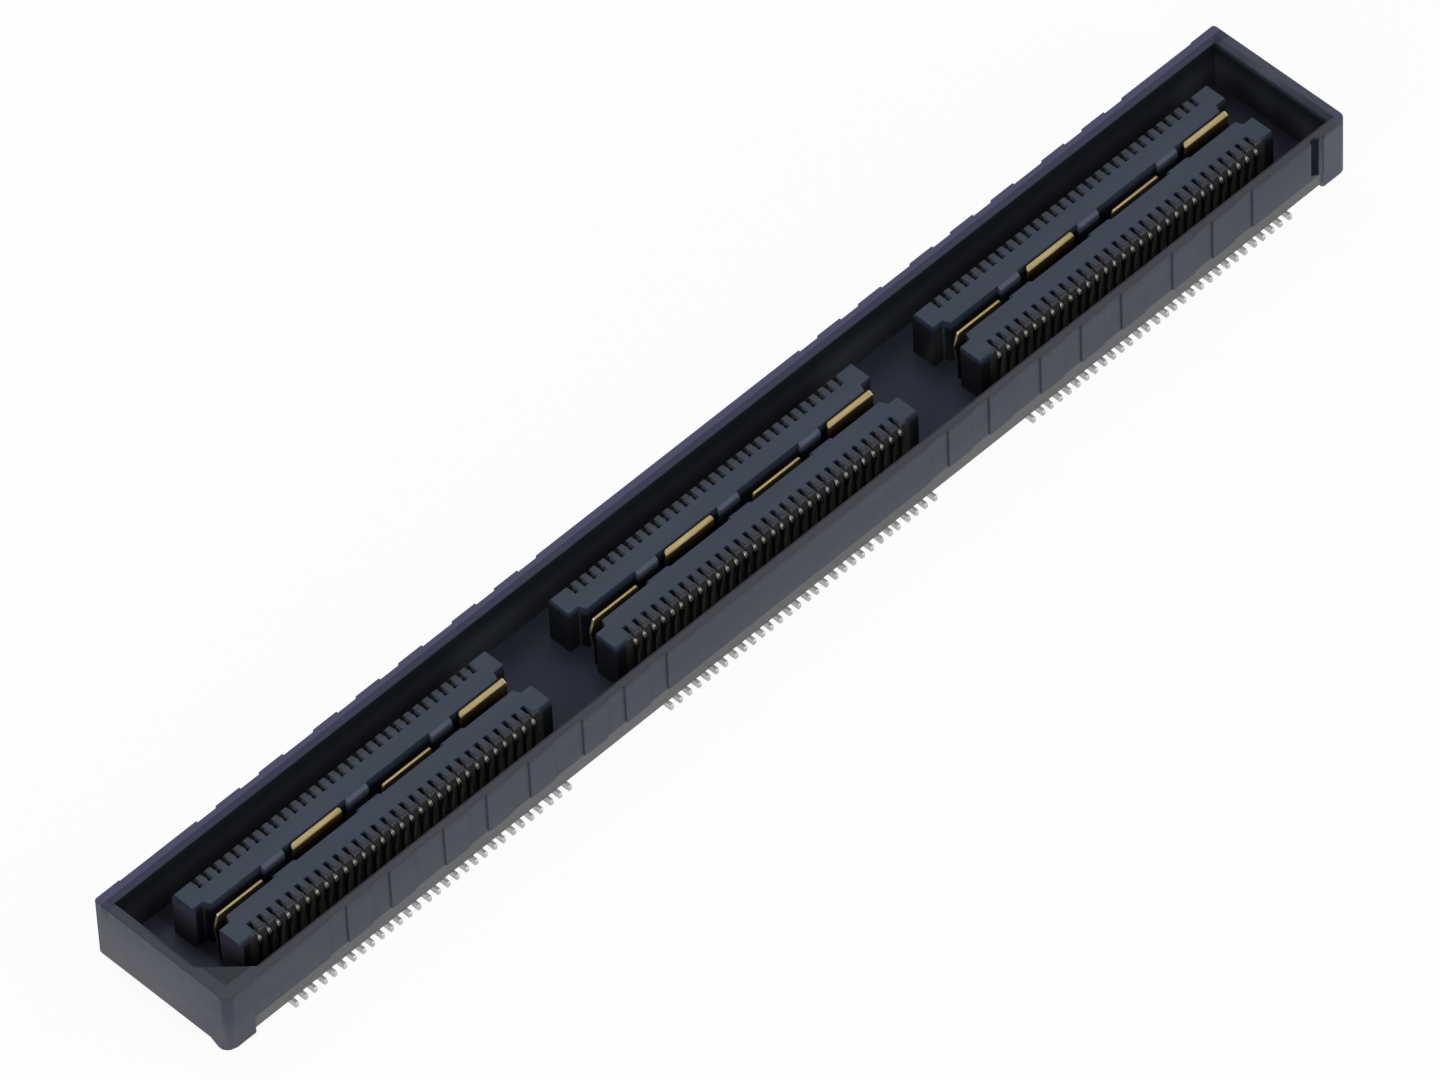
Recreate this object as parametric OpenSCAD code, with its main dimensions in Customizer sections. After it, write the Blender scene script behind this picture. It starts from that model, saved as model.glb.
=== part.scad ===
// Fine pitch board-to-board socket: a moulded tray with one contact tower per bank,
// two rows of spring contacts on each tower and a split ground plane in the tower's slot.
// Units are millimetres. X runs along the banks, Z is up, and Z = 0 is the circuit board.

/* [Housing] */
// Number of contact banks in a row
bank_count = 3; // [1:1:3]
// Distance between the centres of two banks
bank_pitch = 20; // [19:0.25:24]
// Length added at each end beyond the outer banks' own pitch
end_margin = 0.635; // [0.5:0.005:1.5]
// Width over the corner blocks
body_w = 7.24; // [7.1:0.02:9]
// Height of the rim above the board
rim_h = 3.25; // [3:0.05:4.5]
// Inside width of the mating cavity
cavity_w = 6.08; // [5.8:0.02:6.3]
// Thickness of the two end walls
end_wall_t = 0.535; // [0.4:0.005:0.8]
// Height of the base plate's underside above the board
base_lift = 0.35; // [0.33:0.01:0.4]
// Thickness of the base plate
base_t = 0.3; // [0.25:0.01:0.5]
// Half width of the base plate between the corner blocks
base_half_w = 3.3; // [3.2:0.01:3.4]
// Height of the side walls' lower edge above the board
side_lift = 0.35; // [0.33:0.01:0.5]
// Height of the end walls' lower edge above the board
end_lift = 0.24; // [0.15:0.01:0.32]
// How far the long side walls stand back from the corner blocks
side_recess = 0.04; // [0.02:0.01:0.16]
// Length of the corner blocks along the housing
corner_len = 1.35; // [1.3:0.05:2.5]
// Radius of the two upright front corners
front_corner_r = 0.4; // [0.1:0.05:0.6]
// Radius of the two upright rear corners
rear_corner_r = 0.15; // [0.1:0.05:0.6]
// Lead-in chamfer around the top of the cavity
lead_in = 0.2; // [0.05:0.01:0.22]
// Leg of the triangular keying web in one cavity corner
web_leg = 1.35; // [0.8:0.05:1.8]

/* [Feet] */
// Length of the front corner feet along the housing
front_foot_len = 1.25; // [0.7:0.05:1.5]
// Width of the front corner feet
front_foot_w = 0.53; // [0.4:0.01:0.9]
// How far the front corner feet stand back from the corner blocks
front_foot_inset = 0.19; // [0.02:0.01:0.4]
// How much a front foot widens towards the inside up to the end wall
foot_flare = 0.4; // [0.1:0.05:0.6]
// How much a front foot lengthens up to the end wall
foot_draft = 0.1; // [0.05:0.01:0.3]
// Size of the rear feet and of the pads between the banks
pad_size = 0.9; // [0.5:0.05:1.1]
// How far the rear feet stand in from the outside
rear_foot_inset = 0.35; // [0.2:0.05:0.6]
// Distance of the pads between the banks from the long axis
pad_offset = 2.3; // [1.5:0.1:2.7]

/* [Wall recesses] */
// Shallow recesses on each side of the middle of a long wall
recess_count = 8; // [1:1:8]
// Recesses in one group, of which the last is wider
recess_group = 3; // [2:1:4]
// Distance of the first recess from the middle of the wall
recess_first = 7.2; // [5:0.1:8]
// Distance between the inner ends of neighbouring recesses
recess_pitch = 2.27; // [2.1:0.01:2.5]
// Width of a recess
recess_w = 1; // [0.5:0.05:1.2]
// Width added to the last recess of a group
recess_extra = 0.6; // [0.2:0.05:0.8]
// Depth of the recesses and of the low band that they run into
recess_d = 0.08; // [0.03:0.01:0.12]
// Height of that band's upper edge above the board
band_top = 1.07; // [0.9:0.01:2]
// Radius of the single round groove beside one front corner block
key_r = 0.22; // [0.1:0.01:0.3]
// Distance of that groove's middle from the corner block
key_inset = 0.45; // [0.35:0.01:0.6]
// Height of that groove's lower end above the board
key_foot = 0.95; // [0.9:0.05:2]

/* [Contact towers] */
// Length of one tower
rail_len = 16.5; // [16:0.1:18]
// Width of one tower over its two rails
tower_w = 3.74; // [3.4:0.02:4]
// How far the rails' top lies below the rim
rail_drop = 0.25; // [0.1:0.05:0.6]
// Width of the ground slot at its narrow bridges
slot_w = 0.44; // [0.3:0.02:0.5]
// Half width of the pockets that hold the blades
pocket_half = 0.41; // [0.38:0.01:0.5]
// Half width of the slot's open ends
mouth_half = 0.73; // [0.6:0.01:0.8]
// Length of the slot's open ends before they narrow
mouth_len = 0.52; // [0.1:0.02:0.6]
// Length over which an open end narrows to a pocket
mouth_run = 0.13; // [0.05:0.01:0.3]
// Length of the bridges between two pockets
bridge_len = 1.1; // [0.8:0.05:1.5]
// Chamfer on the upper edges of the bridges
bridge_chamfer = 0.15; // [0.05:0.01:0.16]
// Width of the steep chamfer along the rails' outer upper edge
rail_edge_w = 0.12; // [0.05:0.01:0.2]
// Height of that chamfer
rail_edge_h = 0.25; // [0.05:0.01:0.4]

/* [Contacts] */
// Contacts in one row of a bank
contacts_per_row = 30; // [10:5:30]
// Distance between neighbouring contacts
contact_pitch = 0.5; // [0.45:0.01:0.52]
// Neighbouring contacts kept together as one group
group_size = 5; // [5:1:10]
// Thickness of the sheet a contact is cut from, along the row
contact_t = 0.15; // [0.1:0.01:0.2]
// Clearance between a contact and each side of its slit in the rail
slit_gap = 0.025; // [0.01:0.005:0.05]
// Depth of the slits from the rail's outer face
slit_depth = 0.61; // [0.5:0.01:0.75]
// Distance of the contact's leg from the rail's outer face
leg_setback = 0.12; // [0.08:0.01:0.15]
// Width of the leg through the base plate
leg_w = 0.3; // [0.2:0.01:0.32]
// Clearance around legs and blades where they pass the base plate
plate_gap = 0.015; // [0.005:0.005:0.03]
// How far the contact point stands out past the rail
contact_out = 0.09; // [0.04:0.01:0.2]
// Radius of the contact's rounded head
bulge_r = 0.4; // [0.3:0.01:0.44]
// Depth of the head's centre below the top of the rails
bulge_drop = 0.62; // [0.5:0.01:0.9]
// How far the head reaches back behind its centre
head_back = 0.08; // [0.02:0.01:0.12]
// Width of the spring beam below the bulge
beam_w = 0.24; // [0.15:0.01:0.3]
// Height of the solder tails
tail_h = 0.3; // [0.15:0.01:0.32]
// How far the solder tails stand out past the corner blocks
tail_out = 0.11; // [0.05:0.01:0.6]

/* [Ground blades] */
// Blades in one bank
blade_count = 4; // [2:1:4]
// Distance between the centres of neighbouring blades
blade_pitch = 4.45; // [4.2:0.05:4.5]
// Length of one blade
blade_len = 2.6; // [1.8:0.05:2.9]
// Thickness of the blade strip
blade_t = 0.11; // [0.08:0.01:0.14]
// Clearance between a blade's upright root and the pocket's wall
root_gap = 0.02; // [0.01:0.005:0.05]
// Clearance between the rear blades' flared lip and the pocket's wall
lip_gap = 0.01; // [0.005:0.005:0.05]
// Distance of the rear blades' contact line from the long axis
rear_touch = 0.2; // [0.1:0.01:0.22]
// Depth of that line below the rails' top
rear_touch_drop = 0.24; // [0.2:0.01:0.6]
// Distance of the front blades' contact line from the long axis
front_touch = 0.1; // [0.08:0.01:0.25]
// Depth of that line below the rails' top
front_touch_drop = 0.75; // [0.4:0.01:1]
// Distance of the front blades' top edge from the long axis
front_lip = 0.11; // [0.08:0.01:0.3]
// Depth of the blades' top edge below the rails' top
blade_drop = 0.06; // [0.02:0.01:0.2]
// Reach of the blades' solder tab past the long axis
tab_reach = 0.45; // [0.2:0.05:0.8]
// Radius of the blades' upper corners
blade_corner_r = 0.18; // [0.05:0.01:0.2]
// Length taken off the upper corner at the bank's ends
blade_cut_len = 0.22; // [0.05:0.01:0.4]
// Height of that cut
blade_cut_h = 0.7; // [0.2:0.05:1]

/* [Hidden] */
weld = 0.02;
heel_clearance = 0.03;
heel_steps = 3;
corner_steps = 4;
bulge_steps = 8;
bulge_start = -24;
bulge_end = 82;
leg_rise = 0.3;
head_round = 0.06;
round_fn = 48;
housing_colour = [0.23, 0.24, 0.28];
contact_colour = [0.85, 0.72, 0.42];
blade_colour = [0.79, 0.63, 0.31];

length = bank_count * bank_pitch + 2 * end_margin;
cavity_len = length - 2 * end_wall_t;
wall_y = body_w / 2 - side_recess;
straight_len = length - 2 * corner_len;
base_top = base_lift + base_t;
rail_top = rim_h - rail_drop;
tower_half = tower_w / 2;
slit_w = contact_t + 2 * slit_gap;
row_span = (contacts_per_row - 1) * contact_pitch;
pocket_len = blade_pitch - bridge_len;
root_o = pocket_half - root_gap - blade_t / 2;
lip_o = pocket_half - lip_gap - blade_t / 2;
leg_o = tower_half - leg_setback;
bulge_o = tower_half + contact_out - bulge_r;
bulge_z = rail_top - bulge_drop;
head_o = bulge_o - head_back;
head_z = bulge_z + bulge_r * sin(bulge_end);
tail_tip = body_w / 2 + tail_out;
foot_y = body_w / 2 - front_foot_inset;
groups_per_row = ceil(contacts_per_row / group_size);

FRONT = -1;
REAR = 1;
SIDES = [FRONT, REAR];

function side_name(side) = side == FRONT ? "front" : "rear";
function contact_node(bank, side, group) =
    str("bank", bank, "_", side_name(side), "_contacts_", group);
function blade_node(bank, blade) = str("bank", bank, "_ground_blade_", blade);

// Places along the row
function bank_x(bank) = (bank - (bank_count + 1) / 2) * bank_pitch;
function contact_x(i) = i * contact_pitch - row_span / 2;
function blade_x(blade) = (blade - (blade_count + 1) / 2) * blade_pitch;
function blade_side(blade) = blade % 2 == 1 ? FRONT : REAR;

// A strip bent along a path, as the outline of its cross-section
function unit(v) = v / norm(v);
function turned_left(v) = [-v[1], v[0]];
function edge_normal(p, i) = turned_left(unit(p[i + 1] - p[i]));
function corner_normal(p, i) =
    i == 0 ? edge_normal(p, 0)
    : i == len(p) - 1 ? edge_normal(p, i - 1)
    : let (a = edge_normal(p, i - 1), b = edge_normal(p, i)) (a + b) / (1 + a * b);
function strip(p, t) = concat(
    [for (i = [0:len(p) - 1]) p[i] + corner_normal(p, i) * t / 2],
    [for (i = [len(p) - 1:-1:0]) p[i] - corner_normal(p, i) * t / 2]
);
function arc(centre, r, from, to, steps) =
    [for (i = [0:steps]) let (a = from + (to - from) * i / steps) centre + r * [cos(a), sin(a)]];

// Contact outline from the side: solder tail, leg through the plate, spring beam and rounded head
function contact_outline() = concat(
    [[tail_tip, 0], [tail_tip, tail_h], [leg_o, tail_h], [leg_o, base_top + leg_rise]],
    arc([bulge_o, bulge_z], bulge_r, bulge_start, bulge_end, bulge_steps),
    [
        [head_o + head_round, head_z], [head_o, head_z - head_round], [head_o, bulge_z],
        [bulge_o + bulge_r * cos(bulge_start) - beam_w, bulge_z + bulge_r * sin(bulge_start)],
        [leg_o - leg_w, base_top + leg_rise], [leg_o - leg_w, 0]
    ]
);

// Ground blade: solder tab, heel, root through the plate and a spring face
function blade_path(side) = let (
    r = blade_t / 2 + heel_clearance,
    touch = side == FRONT ? front_touch : rear_touch,
    touch_drop = side == FRONT ? front_touch_drop : rear_touch_drop,
    lip = side == FRONT ? front_lip : lip_o
) concat(
    [[-tab_reach, blade_t / 2]],
    arc([root_o - r, blade_t / 2 + r], r, -90, 0, heel_steps),
    [[root_o, base_top + leg_rise], [touch, rail_top - touch_drop], [lip, rail_top - blade_drop]]
);

// Rail outline: stepped along the slot, combed with slits on the outside
function mouth_end(sign) = let (
    end = rail_len / 2,
    mouth = [[end, mouth_half], [end - mouth_len, mouth_half], [end - mouth_len - mouth_run, pocket_half]]
) [for (i = sign > 0 ? [2:-1:0] : [0:2]) [sign * mouth[i][0], mouth[i][1]]];
function slot_edge() = concat(
    mouth_end(-1),
    [for (k = [1:blade_count - 1]) let (a = blade_x(k) + pocket_len / 2, b = a + bridge_len)
        each [[a, pocket_half], [a, slot_w / 2], [b, slot_w / 2], [b, pocket_half]]],
    mouth_end(1)
);
function slit_edge() = [for (i = [contacts_per_row - 1:-1:0])
    let (a = contact_x(i) + slit_w / 2, b = contact_x(i) - slit_w / 2, deep = tower_half - slit_depth)
        each [[a, tower_half], [a, deep], [b, deep], [b, tower_half]]];
function rail_outline() = concat(
    slot_edge(),
    [[rail_len / 2, tower_half]],
    slit_edge(),
    [[-rail_len / 2, tower_half]]
);

// Lays a cross-section drawn in (Y, Z) along X
module along_x(len) {
    rotate([90, 0, 90])
        linear_extrude(height = len, center = true)
            children();
}

// Lays a cross-section drawn in (X, Z) along Y
module along_y(len) {
    rotate([90, 0, 0])
        linear_extrude(height = len, center = true)
            children();
}

module on_side(side) {
    scale([1, side, 1])
        children();
}

// Outline with its own corner radius at the front and at the rear
module rounded_plan(half_w) {
    for (s = SIDES) {
        r = s == FRONT ? front_corner_r : rear_corner_r;
        translate([0, s * (half_w - r) / 2])
            square([length, half_w - r + 2 * weld], center = true);
        translate([0, s * half_w / 2])
            square([length - 2 * r, half_w], center = true);
        for (x = [-1, 1])
            translate([x * (length / 2 - r), s * (half_w - r)])
                circle(r = r, $fn = round_fn);
    }
}

module corner_block_plan() {
    intersection() {
        rounded_plan(body_w / 2);
        for (x = [-1, 1])
            translate([x * (length - corner_len) / 2, 0])
                square([corner_len, body_w], center = true);
    }
}

module wall_plan() {
    difference() {
        union() {
            corner_block_plan();
            square([straight_len + 2 * weld, 2 * wall_y], center = true);
        }
        square([cavity_len, cavity_w], center = true);
    }
}

// Slots in the base plate for the contacts' legs and the blades' roots
module plate_slots() {
    leg_slot = [contact_t + 2 * plate_gap, leg_w + 2 * plate_gap];
    root_slot = [blade_len + 2 * plate_gap, blade_t + 2 * plate_gap];
    for (b = [1:bank_count]) {
        for (s = SIDES)
            for (i = [0:contacts_per_row - 1])
                translate([bank_x(b) + contact_x(i), s * (leg_o - leg_w / 2)])
                    square(leg_slot, center = true);
        for (k = [1:blade_count])
            translate([bank_x(b) + blade_x(k), blade_side(k) * root_o])
                square(root_slot, center = true);
    }
}

module base_plate() {
    translate([0, 0, base_lift])
        linear_extrude(height = base_t)
            difference() {
                square([straight_len + 2 * weld, 2 * base_half_w], center = true);
                plate_slots();
            }
    translate([0, 0, end_lift])
        linear_extrude(height = base_top - end_lift)
            corner_block_plan();
}

// Sloped mouth of the cavity, with mitred corners
module rim_lead_in() {
    intersection() {
        along_x(length)
            lead_in_section(cavity_w / 2);
        along_y(body_w)
            lead_in_section(cavity_len / 2);
    }
}

module lead_in_section(half) {
    polygon([
        [-half, rim_h - lead_in], [half, rim_h - lead_in],
        [half + lead_in + weld, rim_h + weld], [-half - lead_in - weld, rim_h + weld]
    ]);
}

// Band along the bottom of the long walls, set back as far as the recesses
module low_band() {
    translate([0, 0, side_lift - weld])
        linear_extrude(height = band_top - side_lift + weld)
            for (s = SIDES)
                translate([0, s * wall_y])
                    square([straight_len, 2 * recess_d], center = true);
}

// Shallow recesses in the outer faces of the long walls, open at the rim and down to the band
function recess_start(k) = recess_first + k * recess_pitch + floor(k / recess_group) * recess_extra;
function recess_width(k) = recess_w + (k % recess_group == recess_group - 1 ? recess_extra : 0);
function recess_fits(k) = recess_start(k) + recess_width(k) < straight_len / 2 - recess_w;
module wall_recesses() {
    translate([0, 0, band_top - weld])
        linear_extrude(height = rim_h)
            for (k = [for (i = [0:recess_count - 1]) if (recess_fits(i)) i])
                for (x = [-1, 1])
                    for (s = SIDES)
                        translate([x * (recess_start(k) + recess_width(k) / 2), s * wall_y])
                            square([recess_width(k), 2 * recess_d], center = true);
}

module key_groove() {
    translate([straight_len / 2 - key_inset, -wall_y, key_foot])
        cylinder(r = key_r, h = rim_h, $fn = round_fn);
}

module shroud() {
    difference() {
        translate([0, 0, side_lift])
            linear_extrude(height = rim_h - side_lift)
                wall_plan();
        rim_lead_in();
        low_band();
        wall_recesses();
        key_groove();
    }
}

// Triangular web that keys the plug, flush with the rim
module keying_web() {
    x = -cavity_len / 2 - lead_in;
    y = -cavity_w / 2 - lead_in;
    leg = web_leg + 2 * lead_in;
    translate([0, 0, base_top - weld])
        linear_extrude(height = rim_h - base_top + weld)
            polygon([[x, y], [x + leg, y], [x, y + leg]]);
}

module rail(side) {
    on_side(side)
        difference() {
            translate([0, 0, base_top - weld])
                linear_extrude(height = rail_top - base_top + weld)
                    polygon(rail_outline());
            rail_edge();
            bridge_slope();
        }
}

// Steep chamfer along the outer upper edge of a rail
module rail_edge() {
    along_x(rail_len + 2 * weld)
        polygon([
            [tower_half - rail_edge_w, rail_top], [tower_half, rail_top - rail_edge_h],
            [tower_half + weld, rail_top - rail_edge_h], [tower_half + weld, rail_top + weld],
            [tower_half - rail_edge_w, rail_top + weld]
        ]);
}

module bridge_slope() {
    along_x(rail_len)
        polygon([
            [slot_w / 2 + bridge_chamfer, rail_top], [slot_w / 2, rail_top - bridge_chamfer],
            [slot_w / 2 - weld, rail_top - bridge_chamfer], [slot_w / 2 - weld, rail_top + weld],
            [slot_w / 2 + bridge_chamfer, rail_top + weld]
        ]);
}

// Front corner feet, wider and longer where they meet the end wall
module front_feet() {
    end = length / 2;
    inner = front_foot_w + foot_flare - foot_y;
    start = end - front_foot_len - foot_draft;
    intersection() {
        linear_extrude(height = end_lift + weld)
            rounded_plan(foot_y);
        along_x(length)
            polygon([
                [-foot_y, 0], [front_foot_w - foot_y, 0],
                [inner, end_lift], [inner, base_lift], [-foot_y, base_lift]
            ]);
        along_y(body_w)
            for (x = [-1, 1])
                scale([x, 1])
                    polygon([
                        [end - front_foot_len, 0], [end, 0],
                        [end, base_lift], [start, base_lift], [start, end_lift]
                    ]);
    }
}

// Square feet at the rear corners
module rear_feet() {
    linear_extrude(height = end_lift + weld)
        for (x = [-1, 1])
            translate([
                x * (length / 2 - rear_foot_inset - pad_size / 2),
                body_w / 2 - rear_foot_inset - pad_size / 2
            ])
                square(pad_size, center = true);
}

// Square pads under the base plate between the banks
module bank_pads() {
    linear_extrude(height = base_lift + weld)
        for (b = [1:bank_count - 1])
            for (s = SIDES)
                translate([(bank_x(b) + bank_x(b + 1)) / 2, s * pad_offset])
                    square(pad_size, center = true);
}

module housing() {
    color(housing_colour)
        union() {
            base_plate();
            shroud();
            keying_web();
            front_feet();
            rear_feet();
            if (bank_count > 1) {
                bank_pads();
            }
            for (b = [1:bank_count])
                translate([bank_x(b), 0, 0])
                    for (s = SIDES)
                        rail(s);
        }
}

// One group of neighbouring contacts of a row
module contacts(bank, side, group) {
    first = (group - 1) * group_size;
    last = min(first + group_size, contacts_per_row) - 1;
    color(contact_colour)
        for (i = [first:last])
            translate([bank_x(bank) + contact_x(i), 0, 0])
                on_side(side)
                    along_x(contact_t)
                        polygon(contact_outline());
}

// Blade seen from the side: an upper corner is cut at the bank's ends and rounded elsewhere
function blade_corner(is_cut) = let (half = blade_len / 2, top = rail_top - blade_drop / 2)
    is_cut ? [[half, top - blade_cut_h], [half - blade_cut_len, top]]
    : arc([half - blade_corner_r, top - blade_corner_r], blade_corner_r, 0, 90, corner_steps);
function mirrored(p) = [for (i = [len(p) - 1:-1:0]) [-p[i][0], p[i][1]]];
module blade_outline(blade) {
    polygon(concat(
        [[-blade_len / 2, 0], [blade_len / 2, 0]],
        blade_corner(blade == blade_count),
        mirrored(blade_corner(blade == 1))
    ));
}

module ground_blade(bank, blade) {
    color(blade_colour)
        translate([bank_x(bank) + blade_x(blade), 0, 0])
            on_side(blade_side(blade))
                intersection() {
                    along_x(blade_len)
                        polygon(strip(blade_path(blade_side(blade)), blade_t));
                    along_y(body_w)
                        blade_outline(blade);
                }
}

housing();
for (b = [1:bank_count]) {
    for (s = SIDES)
        for (g = [1:groups_per_row])
            contacts(b, s, g);
    for (k = [1:blade_count])
        ground_blade(b, k);
}
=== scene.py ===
"""Dresses a fine pitch board-to-board socket: moulded housing, spring contacts and ground blades."""

import logging
import math
from dataclasses import dataclass
from enum import Enum
from typing import Any, Callable

import bmesh
import bpy
from bpy.types import Material, Mesh, Node, NodeSocket, NodeTree, Object, World
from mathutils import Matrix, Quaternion, Vector


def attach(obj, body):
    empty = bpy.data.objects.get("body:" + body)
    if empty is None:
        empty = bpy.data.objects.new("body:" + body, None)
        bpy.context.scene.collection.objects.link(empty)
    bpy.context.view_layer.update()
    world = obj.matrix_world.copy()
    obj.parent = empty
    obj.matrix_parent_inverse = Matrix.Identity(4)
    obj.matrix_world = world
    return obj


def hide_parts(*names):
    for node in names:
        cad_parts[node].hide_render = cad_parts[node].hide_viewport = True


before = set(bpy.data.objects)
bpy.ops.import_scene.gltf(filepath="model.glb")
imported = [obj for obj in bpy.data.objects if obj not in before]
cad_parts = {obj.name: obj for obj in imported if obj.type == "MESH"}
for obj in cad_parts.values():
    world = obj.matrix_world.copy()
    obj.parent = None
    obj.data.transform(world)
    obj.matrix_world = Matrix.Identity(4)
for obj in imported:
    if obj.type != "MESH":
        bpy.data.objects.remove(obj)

LOG = logging.getLogger("socket")
MM = 0.001
BODY = "root"
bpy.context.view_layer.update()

Colour = tuple[float, float, float]
Triple = tuple[float, float, float]
Point = tuple[float, float]
Span = tuple[float, float]
Window = tuple[float, float, float]


class Side(Enum):
    """The two long sides of a tower, by the sign of Y."""

    FRONT = -1
    REAR = 1

    @property
    def label(self) -> str:
        """The side's word in a node's name."""
        return self.name.lower()


# Node building


def add_node(tree: NodeTree, kind: str, inputs: dict[Any, Any], settings: dict[str, Any]) -> Node:
    """Adds one node, sets it up and feeds it.

    Args:
        tree: The tree that takes the node.
        kind: The node's type.
        inputs: What each input takes, a socket or a constant, by name or number.
        settings: The node's own properties.

    Returns:
        The node.
    """
    node = tree.nodes.new(kind)
    for key, value in settings.items():
        setattr(node, key, value)
    for key, value in inputs.items():
        if isinstance(value, NodeSocket):
            tree.links.new(value, node.inputs[key])
        else:
            node.inputs[key].default_value = value
    return node


class Signal:
    """A shader value that takes part in plain arithmetic."""

    def __init__(self, graph: "Graph", socket: NodeSocket) -> None:
        """Wraps an output socket of the graph."""
        self.graph = graph
        self.socket = socket

    def _math(self, operation: str, *values: "Signal | float") -> "Signal":
        """The result of a Math node whose inputs take the values in order."""
        inputs = dict(enumerate(values))
        return self.graph.node("ShaderNodeMath", inputs, operation=operation)

    def __add__(self, other: "Signal | float") -> "Signal":
        """self + other"""
        return self._math("ADD", self, other)

    def __radd__(self, other: float) -> "Signal":
        """other + self"""
        return self._math("ADD", other, self)

    def __sub__(self, other: "Signal | float") -> "Signal":
        """self - other"""
        return self._math("SUBTRACT", self, other)

    def __rsub__(self, other: float) -> "Signal":
        """other - self"""
        return self._math("SUBTRACT", other, self)

    def __mul__(self, other: "Signal | float") -> "Signal":
        """self * other"""
        return self._math("MULTIPLY", self, other)

    def __rmul__(self, other: float) -> "Signal":
        """other * self"""
        return self._math("MULTIPLY", other, self)

    def __truediv__(self, other: "Signal | float") -> "Signal":
        """self / other"""
        return self._math("DIVIDE", self, other)

    def __rtruediv__(self, other: float) -> "Signal":
        """other / self"""
        return self._math("DIVIDE", other, self)

    def __abs__(self) -> "Signal":
        """The value without its sign."""
        return self._math("ABSOLUTE", self)

    def rounded(self) -> "Signal":
        """The nearest whole number."""
        return self._math("ROUND", self)

    def from_multiple(self, pitch: float) -> "Signal":
        """The distance from the nearest whole multiple of a pitch."""
        return abs(self - (self / pitch).rounded() * pitch)

    def rise(self, low: float, high: float) -> "Signal":
        """A soft step from 0 at low to 1 at high, which lies below low for a fall."""
        inputs = {"Value": self, "From Min": low, "From Max": high}
        return self.graph.node("ShaderNodeMapRange", inputs, interpolation_type="SMOOTHSTEP")

    def between(self, low: float, high: float, soft: float) -> "Signal":
        """1 between low and high and 0 outside, with flanks that reach soft to either side."""
        return self.rise(low - soft, low + soft) * self.rise(high + soft, high - soft)


class Graph:
    """The node graph of a material or of the world."""

    def __init__(self, owner: Material | World) -> None:
        """Takes the owner's graph over, empty.

        Args:
            owner: The material or the world.
        """
        self.owner = owner
        owner.use_nodes = True
        self.tree = owner.node_tree
        self.tree.nodes.clear()

    def node(
        self, kind: str, inputs: dict[Any, Any] | None = None, output: Any = 0, **settings: Any
    ) -> Signal:
        """Adds one node, sets it up and feeds it.

        Args:
            kind: The node's type.
            inputs: What each input takes, a signal or a constant, by name or number.
            output: The output to hand back, by name or number.
            settings: The node's own properties.

        Returns:
            The chosen output.
        """
        fed = (inputs or {}).items()
        sockets = {key: value.socket if isinstance(value, Signal) else value for key, value in fed}
        return Signal(self, add_node(self.tree, kind, sockets, settings).outputs[output])

    def place(self) -> Signal:
        """The point on the object, in millimetres of the part's own frame."""
        at = self.node("ShaderNodeTexCoord", output="Object")
        return self.node("ShaderNodeVectorMath", {0: at, "Scale": 1 / MM}, operation="SCALE")

    def axes(self, vector: Signal) -> tuple[Signal, ...]:
        """The X, Y and Z of a vector."""
        first = self.node("ShaderNodeSeparateXYZ", {0: vector})
        return tuple(Signal(self, output) for output in first.socket.node.outputs)

    def backdrop(self) -> Signal:
        """Picks the rays that show a background: from the camera, off gloss and through glass.

        Returns:
            1 on those rays.
        """
        ray = self.node("ShaderNodeLightPath", output="Is Camera Ray")
        outputs = ray.socket.node.outputs
        other = Signal(self, outputs["Is Glossy Ray"]) + Signal(self, outputs["Is Transmission Ray"])
        return (ray + other).rise(0.0, 1.0)

    def noise(
        self, at: Signal, size: float, stretch: Triple = (1.0, 1.0, 1.0), detail: float = 3.0
    ) -> Signal:
        """Soft noise around 0.5.

        Args:
            at: Where to look, in millimetres.
            size: The size of one blotch, in millimetres.
            stretch: How much longer a blotch is along each axis.
            detail: The number of finer octaves.

        Returns:
            The noise value.
        """
        scale = tuple(1 / (size * s) for s in stretch)
        spread = self.node("ShaderNodeVectorMath", {0: at, 1: scale}, operation="MULTIPLY")
        return self.node("ShaderNodeTexNoise", {"Vector": spread, "Scale": 1.0, "Detail": detail})

    def mix(self, factor: Signal | float, first: Any, second: Any) -> Signal:
        """Blends two colours.

        Args:
            factor: 0 for the first, 1 for the second.
            first: A colour or a signal.
            second: A colour or a signal.

        Returns:
            The blend.
        """
        first, second = (c if isinstance(c, Signal) else (*c, 1.0) for c in (first, second))
        inputs = {0: factor, 6: first, 7: second}
        return self.node("ShaderNodeMix", inputs, output=2, data_type="RGBA")

    def bump(self, height: Signal, depth: float) -> Signal:
        """The normal of a height, where 1 stands for a depth in millimetres."""
        inputs = {"Height": height, "Distance": depth * MM, "Strength": 1.0}
        return self.node("ShaderNodeBump", inputs)

    def layers(self, base: Any, *coats: tuple[Signal, Any]) -> Signal:
        """Lays colours over a base, one after the other.

        Args:
            base: The colour beneath.
            coats: Each coat's mask and colour.

        Returns:
            The colour on top.
        """
        for mask, colour in coats:
            base = self.mix(mask, base, colour)
        return base

    def surface(self, inputs: dict[str, Any]) -> Material | World:
        """Finishes the material as a Principled surface with these inputs."""
        return self.close(self.node("ShaderNodeBsdfPrincipled", inputs))

    def close(self, surface: Signal) -> Material | World:
        """Joins the shader to the graph's output.

        Args:
            surface: The shader.

        Returns:
            The finished material or world.
        """
        is_world = isinstance(self.owner, World)
        end = self.tree.nodes.new("ShaderNodeOutputWorld" if is_world else "ShaderNodeOutputMaterial")
        self.tree.links.new(surface.socket, end.inputs["Surface"])
        return self.owner


# Finishes


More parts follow.
